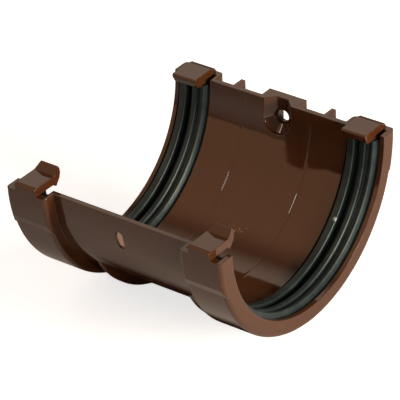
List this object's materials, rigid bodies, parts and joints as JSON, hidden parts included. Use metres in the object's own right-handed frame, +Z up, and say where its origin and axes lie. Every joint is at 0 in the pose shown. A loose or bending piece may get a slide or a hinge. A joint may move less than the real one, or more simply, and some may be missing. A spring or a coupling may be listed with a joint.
{
  "type": "gutter union",
  "caption": "Half-round gutter union bracket: a moulded trough with a seal-lined socket at each end, clips over the rims and a screw boss for a fascia board.",
  "frame": {"origin": "on the gutter's centre line at the level of the rims, midway between the two ends", "axes": "+X along the gutter, +Y towards the fascia board, +Z up"},
  "size_m": [0.117, 0.1326, 0.0798],
  "materials": {
    "brown_plastic": "gloss, moulded",
    "black_rubber": "satin, extruded"
  },
  "bodies": {
    "root": {"body": "brown_plastic", "seal_left": "black_rubber", "seal_right": "black_rubber"}
  },
  "joints": []
}
